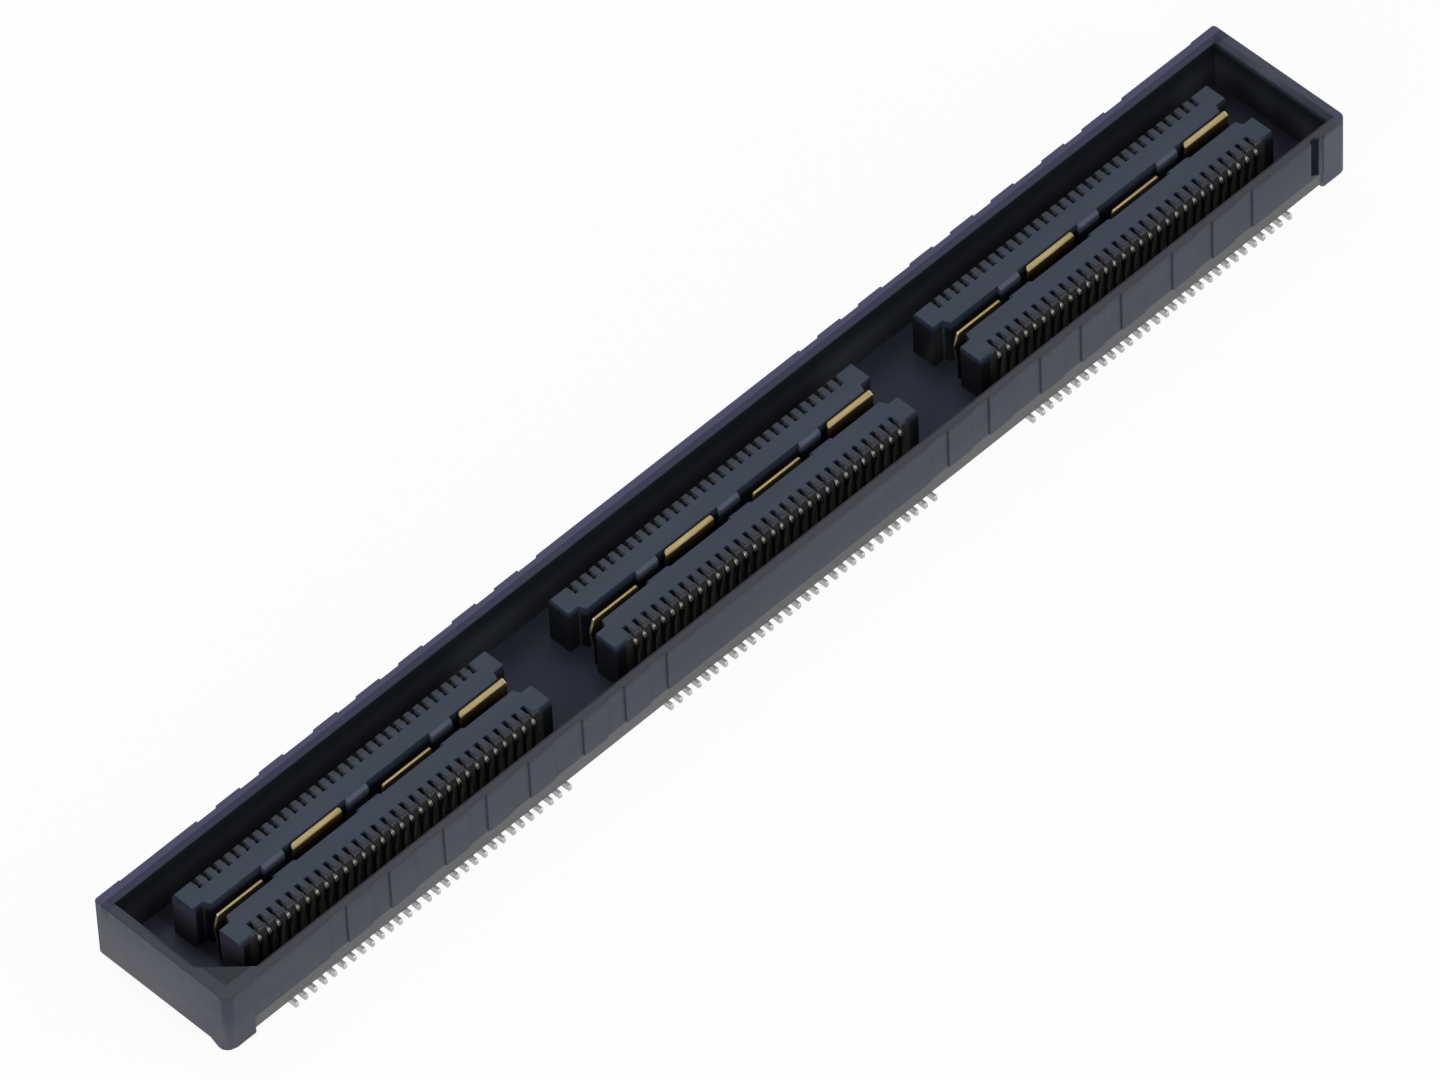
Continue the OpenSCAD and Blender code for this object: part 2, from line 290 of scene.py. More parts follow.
@dataclass(frozen=True)
class Spot:
    """A place on the part, in millimetres: out is from the long axis, along from the bank's middle."""

    x: Signal
    y: Signal
    z: Signal
    out: Signal
    along: Signal


@dataclass(frozen=True)
class MouldedPlastic:
    """Dark glass-filled moulding with a fine grain and faint flow marks, with painted light and shade on
    many of its faces.

    Its colours change at places on the part, which are given in millimetres. A span is where one
    colour gives way to the next; a window is a low end, a high end and the softness of both. Other
    borders are about as wide as soft says.
    """

    name: str = "moulded_plastic"
    tower: Colour = (0.0222, 0.0311, 0.0500)
    tower_pale: Colour = (0.0308, 0.0406, 0.0620)
    teeth: Colour = (0.0218, 0.0236, 0.0290)
    # Painted light: the slits' walls near the top, paler where light still reaches them.
    slit: Colour = (0.135, 0.135, 0.150)
    # Painted light: the bridges' chamfers, paler where they face the lamps.
    bridge: Colour = (0.065, 0.073, 0.108)
    shell: Colour = (0.0338, 0.0380, 0.0565)
    shell_pale: Colour = (0.0455, 0.0515, 0.0705)
    # Painted light: the tray paler towards its foot, for the light thrown up by the white table.
    shell_foot: Colour = (0.0600, 0.0590, 0.0690)
    # Painted light: the low band of the outer walls, lighter from the white table's light.
    low_band: Colour = (0.118, 0.120, 0.120)
    # Painted light and shade: lit and shaded copies of the shell for the rims, the web, the far corner block
    # and the rear slope.
    near_rim: Colour = (0.030, 0.032, 0.043)
    far_rim: Colour = (0.048, 0.049, 0.074)
    front_rim: Colour = (0.0330, 0.0350, 0.0430)
    web: Colour = (0.0050, 0.0068, 0.0122)
    rear_rim: Colour = (0.053, 0.054, 0.104)
    far_block: Colour = (0.062, 0.069, 0.088)
    rear_slope: Colour = (0.0168, 0.0215, 0.0470)
    # Painted shade in the cavity and on the towers' flanks, one colour for each place; the near floor and
    # the near tower end are painted lighter.
    shaded: Colour = (0.0012, 0.0022, 0.0042)
    bottom: Colour = (0.0310, 0.0330, 0.0385)
    floor: Colour = (0.0370, 0.0420, 0.0610)
    near_floor: Colour = (0.090, 0.092, 0.120)
    far_floor: Colour = (0.0265, 0.0280, 0.0420)
    flank: Colour = (0.0290, 0.0280, 0.0235)
    in_slot: Colour = (0.0010, 0.0018, 0.0060)
    end_face: Colour = (0.0012, 0.0016, 0.0034)
    near_face: Colour = (0.050, 0.046, 0.064)
    # Painted shade inside the round groove.
    groove: Colour = (0.0024, 0.0034, 0.0092)
    roughness: float = 0.46
    deep_roughness: float = 0.75
    flow_roughness: float = 0.18
    speck_roughness: float = 0.2
    specular: float = 0.2
    grain_size: float = 0.05
    grain_depth: float = 0.004
    grain_share: float = 0.6
    speck_size: float = 0.13
    speck_marks: Span = (0.62, 0.75)
    speck_share: float = 0.25
    flow_size: float = 1.6
    flow_stretch: Triple = (4.0, 0.6, 0.6)
    flow_marks: Span = (0.35, 0.7)
    soft: float = 0.02
    wall: float = 3.3
    wall_half: float = 29.28
    inner_wall: float = 3.04
    inner_end: float = 30.10
    inner_up: Span = (3.05, 2.99)
    inner_end_up: Span = (3.05, 2.71)
    rim: float = 3.25
    block_fade: float = 0.2
    rim_out: Span = (2.8, 3.0)
    front_rim_up: Span = (3.0, 3.1)
    rear_rim_up: Span = (2.6, 2.9)
    slope_y: Window = (2.8, 3.24, 0.015)
    web_y: Window = (-3.04, -1.5, 0.02)
    foot_up: Span = (2.4, 0.6)
    foot_share: float = 0.6
    slot_half: float = 0.6
    slot_fade: float = 0.1
    slot_drop: float = 0.16
    bridge_out: Span = (0.39, 0.35)
    tower_end: float = 8.25
    tower_half: float = 1.87
    tower_out: Span = (2.0, 1.95)
    flank_top: float = 2.94
    flank_fade: float = 0.34
    teeth_out: Window = (1.5, 1.97, 0.1)
    teeth_share: float = 0.9
    lit_front: Window = (-1.79, -1.42, 0.05)
    lit_rear: Window = (1.20, 1.62, 0.06)
    lit_along: Span = (7.65, 7.55)
    lit_up: Span = (2.55, 2.7)
    lit_top: Span = (2.97, 2.92)
    deep_up: Span = (2.7, 1.6)
    floor_top: float = 0.66
    floor_fade: float = 0.09
    face_along: Span = (7.70, 7.80)
    low_up: Span = (1.09, 1.05)
    groove_x: Window = (28.58, 29.09, 0.01)
    groove_y: Window = (-3.55, -3.3, 0.02)
    groove_up: Span = (0.95, 1.05)
    groove_top: Span = (3.25, 3.05)
    bank_pitch: float = 20.0
    bank_fade: float = 0.2
    row_half: float = 7.45

    def _slit(self, at: Spot) -> Signal:
        """1 on the slits' walls near the top, where painted light stands for the light they still catch."""
        lit = (at.y.between(*self.lit_front) + at.y.between(*self.lit_rear)) * at.along.rise(*self.lit_along)
        return lit * at.z.rise(*self.lit_top) * at.z.rise(*self.lit_up)

    def _deep(self, at: Spot) -> Signal:
        """Where the cavity lies too deep for much light, and takes painted shade.

        Args:
            at: The place on the part.

        Returns:
            1 on the cavity's walls and floor and on the towers' flanks.
        """
        soft = self.soft
        inside = at.out.rise(self.inner_wall + 1.5 * soft, self.inner_wall + soft)
        ends = abs(at.x)
        inside = inside * ends.rise(self.inner_end + 1.5 * soft, self.inner_end + soft)
        tower = at.out.rise(self.tower_half + 2 * soft, self.tower_half + soft)
        tower = tower * at.along.rise(self.tower_end + 5 * soft, self.tower_end + 2.5 * soft)
        slot = at.out.rise(self.slot_half + self.slot_fade, self.slot_half)
        start = self.flank_top - slot * self.slot_drop
        flank = (start - at.z).rise(0.0, self.flank_fade)
        end = ends.rise(self.inner_end - 2 * soft, self.inner_end - soft)
        wall = at.z.rise(*self.inner_up) * (1.0 - end) + at.z.rise(*self.inner_end_up) * end
        return inside * (tower * flank + (1.0 - tower) * wall)

    def _groove(self, at: Spot) -> Signal:
        """1 inside the round groove beside the front corner block, which takes painted shade."""
        sunk = at.y.between(*self.groove_y) * at.x.between(*self.groove_x)
        return sunk * at.z.rise(*self.groove_up) * at.z.rise(*self.groove_top)

    def _dark(self, graph: Graph, on_tower: Signal, at: Spot) -> Signal:
        """The painted shade that deep places show, one colour for each place, lighter on the near floor and
        on the near tower end.

        Args:
            graph: The material's graph.
            on_tower: 1 on the towers.
            at: The place on the part.

        Returns:
            The colour.
        """
        last = self.bank_pitch + self.tower_end
        fade = self.bank_fade
        far_end = at.x.rise(last - fade, last)
        near_end = at.x.rise(fade - last, -last)
        # Painted shade for the floor, lighter at the near end, and for the towers' flanks, darker in the
        # slot and on the end faces, lighter on the near tower end.
        floor = graph.layers(self.floor, (far_end, self.far_floor), (near_end, self.near_floor))
        in_slot = at.out.rise(self.slot_half + self.slot_fade, self.slot_half + self.soft)
        face = graph.mix(at.x.rise(fade - last, fade / 2 - last), self.end_face, self.near_face)
        flank = graph.layers(self.flank, (in_slot, self.in_slot), (at.along.rise(*self.face_along), face))
        above = self.floor_top + self.floor_fade
        # Painted shade, darkest high on the cavity's walls and lighter lower down.
        return graph.layers(
            self.shaded,
            (at.z.rise(*self.deep_up), self.bottom),
            (at.z.rise(above, self.floor_top), floor),
            (on_tower * at.z.rise(self.floor_top, above), flank),
        )

    def _shell(self, graph: Graph, flow: Signal, at: Spot) -> Signal:
        """The tray's colour, with painted light paler towards its foot and on the low band, and painted
        light and shade on the rims, the web, the far corner block and the rear slope.

        Args:
            graph: The material's graph.
            flow: The flow marks.
            at: The place on the part.

        Returns:
            The colour.
        """
        soft = self.soft
        near, far = self.rim_out
        front_top = at.z.rise(*self.front_rim_up)
        rear_top = at.z.rise(*self.rear_rim_up)
        top = at.z.rise(self.rim - 2.5 * soft, self.rim - soft)
        near_end = at.x.rise(2 * soft - self.inner_end, -self.inner_end)
        far_end = at.x.rise(self.inner_end - 2 * soft, self.inner_end)
        inside = at.x.between(-self.inner_end, -self.bank_pitch - self.tower_end - soft, soft)
        web = top * inside * at.y.between(*self.web_y)
        block = at.x.rise(self.wall_half, self.wall_half + soft)
        block = block * at.y.rise(-self.wall, -self.wall - self.block_fade)
        low = at.z.rise(*self.low_up) * abs(at.y).rise(self.wall - 2.5 * soft, self.wall + 2.5 * soft)
        low = low * abs(at.x).rise(self.wall_half + soft, self.wall_half)
        return graph.layers(
            self.shell,
            (flow.rise(*self.flow_marks), self.shell_pale),
            # Painted light, paler towards the foot.
            (at.z.rise(*self.foot_up) * self.foot_share, self.shell_foot),
            # Painted light and shade on the rims, the web, the far corner block and the rear slope.
            (at.y.rise(-near, -far) * front_top, self.front_rim),
            (top * near_end, self.near_rim),
            (top * far_end, self.far_rim),
            (web, self.web),
            (block * (1.0 - front_top), self.far_block),
            (at.y.rise(near, far) * rear_top, self.rear_rim),
            (at.y.between(*self.slope_y) * rear_top, self.rear_slope),
            # Painted light on the low band of the outer walls.
            (low, self.low_band),
        )

    def _tower(self, graph: Graph, flow: Signal, at: Spot) -> Signal:
        """The towers' colour, duller on the teeth, with painted light making the bridges' chamfers paler.

        Args:
            graph: The material's graph.
            flow: The flow marks.
            at: The place on the part.

        Returns:
            The colour.
        """
        row = at.out.between(*self.teeth_out) * at.along.rise(self.row_half + self.soft, self.row_half)
        return graph.layers(
            self.tower,
            (flow.rise(*self.flow_marks), self.tower_pale),
            # Painted light on the bridges' chamfers.
            (at.out.rise(*self.bridge_out), self.bridge),
            (row * self.teeth_share, self.teeth),
        )

    def build(self) -> Material:
        """Makes the material.

        Returns:
            The finished material.
        """
        graph = Graph(bpy.data.materials.new(self.name))
        place = graph.place()
        x, y, z = graph.axes(place)
        at = Spot(x, y, z, abs(y), x.from_multiple(self.bank_pitch))
        grain = graph.noise(place, self.grain_size, detail=2.0)
        flow = graph.noise(place, self.flow_size, self.flow_stretch, detail=5.0)
        speck = graph.noise(place, self.speck_size, detail=4.0)
        on_tower = at.along.rise(self.tower_end + 2.5 * self.soft, self.tower_end)
        on_tower = at.out.rise(*self.tower_out) * on_tower
        slit = self._slit(at)
        deep = self._deep(at) * (1.0 - slit)
        groove = self._groove(at)
        colour = graph.layers(
            self._shell(graph, flow, at),
            (on_tower, self._tower(graph, flow, at)),
            (speck.rise(*self.speck_marks) * self.speck_share, self.shell_pale),
            # Painted light on the slits' walls near the top.
            (slit, self.slit),
            # Painted shade in the deep cavity.
            (deep, self._dark(graph, on_tower, at)),
            # Painted shade inside the round groove.
            (groove, self.groove),
        )
        deep = deep + groove
        uneven = (flow - 0.5) * self.flow_roughness + (speck - 0.5) * self.speck_roughness
        rough = uneven + self.roughness + deep * (self.deep_roughness - self.roughness)
        height = grain * self.grain_share + speck * (1.0 - self.grain_share)
        bump = graph.bump(height, self.grain_depth)
        inputs = {"Base Color": colour, "Roughness": rough, "Normal": bump}
        return graph.surface(inputs | {"IOR": 1.5, "Specular IOR Level": self.specular})


@dataclass(frozen=True)
class PlatedStrip:
    """Stamped contacts: pale gold on a lit band of the head, with painted shade above it, down the beam and
    down each contact's middle; matt tin on the solder tail.
    """

    name: str = "plated_strip"
    gold: Colour = (0.49, 0.48, 0.44)
    worn: Colour = (0.56, 0.55, 0.52)
    # Painted shade: a dark stripe down each contact's middle that splits the head's highlight into two
    # lines.
    wiped: Colour = (0.10, 0.095, 0.085)
    # Painted shade over the head's upper part, above its lit band.
    shoulder: Colour = (0.055, 0.053, 0.050)
    # Painted shade on the head's top, down between the teeth.
    top: Colour = (0.055, 0.057, 0.066)
    top_metal: float = 0.2
    # Painted shade down the beam below the head.
    deep: Colour = (0.050, 0.044, 0.036)
    tin: Colour = (0.58, 0.58, 0.56)
    tin_dark: Colour = (0.44, 0.44, 0.42)
    tin_metal: float = 0.6
    roughness: float = 0.42
    tin_roughness: float = 0.50
    drawn_roughness: float = 0.14
    blotch_roughness: float = 0.12
    relief: float = 0.0015
    tin_out: Span = (2.3, 2.5)
    shoulder_up: Span = (2.61, 2.71)
    top_out: Span = (1.72, 1.64)
    top_up: Span = (2.60, 2.70)
    head_up: Span = (2.56, 2.42)
    wiped_off: Span = (0.036, 0.016)
    wiped_share: float = 0.85
    draw_size: float = 0.5
    draw_stretch: Triple = (0.08, 2.0, 2.0)
    draw_marks: Span = (0.35, 0.7)
    blotch_size: float = 0.16
    blotch_marks: Span = (0.35, 0.65)
    contact_pitch: float = 0.5

    def build(self) -> Material:
        """Makes the material.

        Returns:
            The finished material.
        """
        graph = Graph(bpy.data.materials.new(self.name))
        at = graph.place()
        x, y, z = graph.axes(at)
        drawn = graph.noise(at, self.draw_size, self.draw_stretch)
        blotch = graph.noise(at, self.blotch_size, detail=4.0)
        tinned = abs(y).rise(*self.tin_out)
        step = x / self.contact_pitch - 0.5
        middle = abs(step - step.rounded()) * self.contact_pitch
        top = abs(y).rise(*self.top_out) * z.rise(*self.top_up)
        colour = graph.layers(
            self.gold,
            (drawn.rise(*self.draw_marks), self.worn),
            # Painted shade down each contact's middle, splitting its highlight in two.
            (middle.rise(*self.wiped_off) * self.wiped_share, self.wiped),
            # Painted shade over the head's upper part.
            (z.rise(*self.shoulder_up), self.shoulder),
            # Painted shade on the head's top between the teeth.
            (top, self.top),
            # Painted shade down the beam.
            (z.rise(*self.head_up), self.deep),
            (tinned, graph.mix(blotch.rise(*self.blotch_marks), self.tin_dark, self.tin)),
        )
        uneven = (drawn - 0.5) * self.drawn_roughness + (blotch - 0.5) * self.blotch_roughness
        rough = uneven + self.roughness + tinned * (self.tin_roughness - self.roughness)
        height = drawn * 0.5 + blotch * 0.5
        metal = 1.0 - tinned * (1.0 - self.tin_metal) - top * (1.0 - self.top_metal)
        bump = graph.bump(height, self.relief)
        inputs = {"Base Color": colour, "Roughness": rough, "Metallic": metal, "Normal": bump}
        return graph.surface(inputs)


@dataclass(frozen=True)
class GoldSheet:
    """Gold plated sheet of the ground blades, with a drawn grain along its length, painted shade lower down
    and painted highlights along the top edge and the cut edge.
    """

    name: str = "gold_sheet"
    gold: Colour = (0.228, 0.172, 0.071)
    bright: Colour = (0.276, 0.220, 0.119)
    # Painted highlight along the blade's top edge.
    edge: Colour = (0.27, 0.22, 0.105)
    # Painted highlight along the cut edge at the bank's end: pale above, a dimmer grey lower down.
    cut: Colour = (0.58, 0.51, 0.36)
    cut_low: Colour = (0.150, 0.148, 0.136)
    # Painted shade on the blade lower down: brown first, then near black.
    dull: Colour = (0.10, 0.045, 0.018)
    shade: Colour = (0.022, 0.021, 0.018)
    roughness: float = 0.46
    drawn_roughness: float = 0.16
    cloud_roughness: float = 0.12
    relief: float = 0.001
    draw_size: float = 0.12
    draw_stretch: Triple = (9.0, 1.0, 1.0)
    draw_marks: Span = (0.3, 0.7)
    cloud_size: float = 0.7
    dull_up: Span = (2.78, 2.2)
    shade_up: Span = (1.9, 1.2)
    edge_up: Span = (2.91, 2.93)
    bank_pitch: float = 20.0
    cut_along: Span = (7.935, 7.955)
    cut_up: Span = (2.27, 2.6)
    cut_lean: float = 0.3143
    cut_foot: Window = (1.35, 2.27, 0.3)

    def build(self) -> Material:
        """Makes the material.

        Returns:
            The finished material.
        """
        graph = Graph(bpy.data.materials.new(self.name))
        at = graph.place()
        x, _, z = graph.axes(at)
        along = x.from_multiple(self.bank_pitch)
        drawn = graph.noise(at, self.draw_size, self.draw_stretch, detail=4.0)
        cloud = graph.noise(at, self.cloud_size)
        reach = along + (z - self.cut_up[0]) * self.cut_lean
        gold = graph.layers(
            self.gold,
            (drawn.rise(*self.draw_marks), self.bright),
            # Painted shade lower down the blade.
            (z.rise(*self.dull_up), self.dull),
            (z.rise(*self.shade_up), self.shade),
            # Painted highlight along the top edge.
            (z.rise(*self.edge_up), self.edge),
            # Painted highlight along the cut edge, pale above and grey lower down.
            (reach.rise(*self.cut_along) * z.rise(*self.cut_up), self.cut),
            (along.rise(*self.cut_along) * z.between(*self.cut_foot), self.cut_low),
        )
        uneven = (drawn - 0.5) * self.drawn_roughness + (cloud - 0.5) * self.cloud_roughness
        rough = uneven + self.roughness
        bump = graph.bump(drawn, self.relief)
        return graph.surface({"Base Color": gold, "Roughness": rough, "Metallic": 1.0, "Normal": bump})


@dataclass(frozen=True)
class PaleTable:
    """White table top that shows white to the camera and keeps a soft shadow."""

    name: str = "pale_table"
    paint: Colour = (0.86, 0.86, 0.87)
    roughness: float = 0.8
    lift: float = 0.94

    def build(self) -> Material:
        """Makes the material.

        Returns:
            The finished material.
        """
        graph = Graph(bpy.data.materials.new(self.name))
        inputs = {"Base Color": (*self.paint, 1.0), "Roughness": self.roughness}
        paint = graph.node("ShaderNodeBsdfPrincipled", inputs)
        glow = graph.node("ShaderNodeEmission", {"Color": (1.0, 1.0, 1.0, 1.0), "Strength": 1.0})
        share = graph.backdrop() * self.lift
        return graph.close(graph.node("ShaderNodeMixShader", {0: share, 1: paint, 2: glow}))


# Meshes


def as_mesh(work: bmesh.types.BMesh, name: str) -> Mesh:
    """Turns finished mesh work into a mesh and frees the work.

    Args:
        work: The mesh work.
        name: The mesh's name.

    Returns:
        The mesh.
    """
    mesh = bpy.data.meshes.new(name)
    work.to_mesh(mesh)
    work.free()
    return mesh


def skinned(name: str, rings: list[list[Triple]]) -> Mesh:
    """Joins rings of points into a closed mesh.

    Args:
        name: The mesh's name.
        rings: Rings of equally many points, in millimetres.

    Returns:
        The closed mesh, in metres.
    """
    work = bmesh.new()
    loops = [[work.verts.new(Vector(point) * MM) for point in ring] for ring in rings]
    for a, b in zip(loops, loops[1:]):
        for i in range(len(a)):
            j = (i + 1) % len(a)
            work.faces.new((a[i], a[j], b[j], b[i]))
    work.faces.new(loops[0])
    work.faces.new(loops[-1])
    bmesh.ops.recalc_face_normals(work, faces=work.faces)
    return as_mesh(work, name)


@dataclass
class BentStrip:
    """A strip of sheet metal bent along a path in the (out, up) plane, with eased edges."""

    path: list[Point]
    thickness: float
    span: Callable[[float], Span]
    side: Side
    ease: float
    ease_steps: int = 2
    least_round: float = 0.15

    def _stations(self) -> list[tuple[Vector, Vector, float]]:
        """Places, mitred normals and insets along the path, with chamfered ends.

        Returns:
            One tuple for each cross-section.
        """
        points = [Vector(p) for p in self.path]
        first = (points[1] - points[0]).normalized()
        last = (points[-2] - points[-1]).normalized()
        points.insert(1, points[0] + first * self.ease)
        points.insert(-1, points[-1] + last * self.ease)
        stations = []
        for i, point in enumerate(points):
            before = (point - points[i - 1]).normalized() if i else first
            after = (points[i + 1] - point).normalized() if i < len(points) - 1 else -last
            a, b = before.orthogonal(), after.orthogonal()
            inset = self.ease if i in (0, len(points) - 1) else 0.0
            stations.append((point, (a + b) / (1 + a.dot(b)), inset))
        return stations

    def _section(self, low: float, high: float, inset: float) -> list[Point]:
        """A rounded rectangle across the strip.

        Args:
            low: Its lower X.
            high: Its upper X.
            inset: How far it is drawn in all round.

        Returns:
            The corners' points in order.
        """
        half = self.thickness / 2
        r = max(self.ease - inset, self.ease * self.least_round)
        section = []
        for sx, sv, start in ((1, 1, 0), (-1, 1, 90), (-1, -1, 180), (1, -1, 270)):
            edge = high if sx > 0 else low
            for k in range(self.ease_steps + 1):
                angle = math.radians(start + 90 * k / self.ease_steps)
                x = edge - sx * (inset + r) + r * math.cos(angle)
                v = sv * (half - inset - r) + r * math.sin(angle)
                section.append((x, v))
        return section

    def mesh(self, name: str) -> Mesh:
        """Builds the strip.

        Args:
            name: The mesh's name.

        Returns:
            The closed mesh, in metres.
        """
        rings = []
        for point, normal, inset in self._stations():
            low, high = self.span(point.y)
            ring = []
            for x, v in self._section(low, high, inset):
                place = point + normal * v
                ring.append((x, self.side.value * place.x, place.y))
            rings.append(ring)
        return skinned(name, rings)


def arc(centre: Point, radius: float, start: float, end: float, steps: int) -> list[Point]:
    """Points on an arc from one angle to another in degrees, both ends included, in equal steps."""
    angles = [math.radians(start + (end - start) * i / steps) for i in range(steps + 1)]
    return [(centre[0] + radius * math.cos(a), centre[1] + radius * math.sin(a)) for a in angles]


def fillet(before: Point, corner: Point, after: Point, radius: float, steps: int) -> list[Point]:
    """Rounds the corner of a path.

    Args:
        before: The point before the corner.
        corner: The corner itself.
        after: The point after it.
        radius: The radius of the rounding.
        steps: The number of pieces it is cut in.

    Returns:
        Points that take the corner's place.
    """
    at = Vector(corner)
    a = (Vector(before) - at).normalized()
    b = (Vector(after) - at).normalized()
    half = a.angle(b) / 2
    reach = radius / math.tan(half)
    start, end = at + a * reach, at + b * reach
    centre = at + (a + b).normalized() * (radius / math.sin(half))
    points = []
    for i in range(steps + 1):
        t = i / steps
        ray = (start - centre) * (1 - t) + (end - centre) * t
        points.append(tuple(centre + ray.normalized() * radius))
    return points


def as_piece(name: str, mesh: Mesh, finish: Material) -> Object:
    """Puts a mesh in the scene with its material.

    Args:
        name: The object's name.
        mesh: Its mesh.
        finish: Its material.

    Returns:
        The object.
    """
    mesh.materials.clear()
    mesh.materials.append(finish)
    piece = bpy.data.objects.new(name, mesh)
    bpy.context.scene.collection.objects.link(piece)
    return piece


def baked(piece: Object) -> Object:
    """Turns a piece with modifiers into a plain mesh.

    Args:
        piece: The piece.

    Returns:
        The same piece, without modifiers.
    """
    view = bpy.context.evaluated_depsgraph_get()
    mesh = bpy.data.meshes.new_from_object(piece.evaluated_get(view), depsgraph=view)
    piece.modifiers.clear()
    piece.data = mesh
    return piece


def evened(piece: Object, sharp: float = 50.0) -> Object:
    """Shades flat faces flat and eased edges round.

    Args:
        piece: The piece.
        sharp: The angle from which an edge stays sharp, in degrees.

    Returns:
        The same piece.
    """
    piece.data.shade_smooth()
    piece.data.set_sharp_from_angle(angle=math.radians(sharp))
    weigh = piece.modifiers.new("even_normals", "WEIGHTED_NORMAL")
    weigh.keep_sharp = True
    weigh.weight = 100
    return baked(piece)


@dataclass
class StampedBlank:
    """A flat blank stamped to an outline in the (out, up) plane, with eased edges."""

    outline: list[Point]
    thickness: float
    side: Side
    ease: float = 0.018
    ease_steps: int = 2

    def _drawn_in(self, inset: float) -> list[Vector]:
        """The outline moved inwards all round.

        Args:
            inset: By how much.

        Returns:
            The moved corners.
        """
        points = [Vector(p) for p in self.outline]
        moved = []
        for i, point in enumerate(points):
            a = (point - points[i - 1]).normalized().orthogonal()
            b = (points[(i + 1) % len(points)] - point).normalized().orthogonal()
            moved.append(point + (a + b) / (1 + a.dot(b)) * inset)
        return moved

    def mesh(self, name: str) -> Mesh:
        """Builds the blank.

        Args:
            name: The mesh's name.

        Returns:
            The closed mesh, in metres.
        """
        half = self.thickness / 2
        turns = [math.radians(90 * k / self.ease_steps) for k in range(self.ease_steps + 1)]
        flank = [(half - self.ease * (1 - math.cos(t)), self.ease * (1 - math.sin(t))) for t in turns]
        layers = flank + [(-x, inset) for x, inset in reversed(flank)]
        sign = self.side.value
        return skinned(name, [[(x, sign * c.x, c.y) for c in self._drawn_in(inset)] for x, inset in layers])


# Sub-assemblies


@dataclass(frozen=True)
class Layout:
    """Sizes that the pieces share, in millimetres."""

    banks: int = 3
    bank_pitch: float = 20.0
    contacts_per_row: int = 30
    contact_pitch: float = 0.5
    group_size: int = 5
    blades_per_bank: int = 4
    blade_pitch: float = 4.45
    base_top: float = 0.65
    leg_rise: float = 0.3

    def bank_x(self, bank: int) -> float:
        """The middle of a bank along X."""
        return (bank - (self.banks + 1) / 2) * self.bank_pitch

    def blade_x(self, blade: int) -> float:
        """The middle of a blade along X, from the bank's middle."""
        return (blade - (self.blades_per_bank + 1) / 2) * self.blade_pitch

    def blade_side(self, blade: int) -> Side:
        """The side that a blade's root stands on."""
        return Side.FRONT if blade % 2 else Side.REAR


@dataclass
class ContactRow:
    """One row of spring contacts with their solder tails, repeated by Geometry Nodes."""

    layout: Layout
    bank: int
    side: Side
    thickness: float = 0.15
    tail_tip: float = 3.73
    tail_height: float = 0.3
    tail_round: float = 0.06
    leg: float = 1.75
    leg_width: float = 0.3
    head_out: float = 1.56
    head_up: float = 2.38
    head_radius: float = 0.4
    head_start: float = -24.0
    head_end: float = 82.0
    head_back: float = 0.08
    head_round: float = 0.06
    beam_width: float = 0.24
    sway: float = 0.6

    def outline(self) -> list[Point]:
        """The contact seen from the side.

        Returns:
            The corners in (out, up), anticlockwise from the tail's tip.
        """
        knee = self.layout.base_top + self.layout.leg_rise
        middle = (self.head_out, self.head_up)
        head = arc(middle, self.head_radius, self.head_start, self.head_end, steps=16)
        back = self.head_out - self.head_back
        beam = (head[0][0] - self.beam_width, head[0][1])
        inside = self.leg - self.leg_width
        nose = (self.tail_tip, self.tail_height)
        return (
            fillet((inside, 0.0), (self.tail_tip, 0.0), nose, self.tail_round, steps=3)
            + fillet((self.tail_tip, 0.0), nose, (self.leg, self.tail_height), self.tail_round, steps=3)
            + [(self.leg, self.tail_height), (self.leg, knee)]
            + head
            + fillet(head[-1], (back, head[-1][1]), (back, self.head_up), self.head_round, steps=4)
            + [(back, self.head_up), beam, (inside, knee), (inside, 0.0)]
        )

    def nodes(self) -> list[str]:
        """The CAD nodes that the row stands for."""
        groups = self.layout.contacts_per_row // self.layout.group_size
        return [f"bank{self.bank}_{self.side.label}_contacts_{g}" for g in range(1, groups + 1)]

    def build(self, tree: "RowTree", finish: Material) -> Object:
        """Builds the row.

        Args:
            tree: The tree that repeats one contact.
            finish: The plated strip's material.

        Returns:
            The row as one plain mesh.
        """
        name = f"bank{self.bank}_{self.side.label}_contact_row"
        blank = StampedBlank(self.outline(), self.thickness, self.side)
        row = as_piece(name, blank.mesh(name), finish)
        lay = self.layout
        first = lay.bank_x(self.bank) - (lay.contacts_per_row - 1) * lay.contact_pitch / 2
        tree.apply(
            row,
            Count=lay.contacts_per_row,
            Pitch=lay.contact_pitch * MM,
            First=first * MM,
            Sway=math.radians(self.sway),
            Seed=self.bank * 2 + self.side.value,
            Finish=finish,
        )
        evened(baked(row))
        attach(row, BODY)
        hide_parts(*self.nodes())
        return row


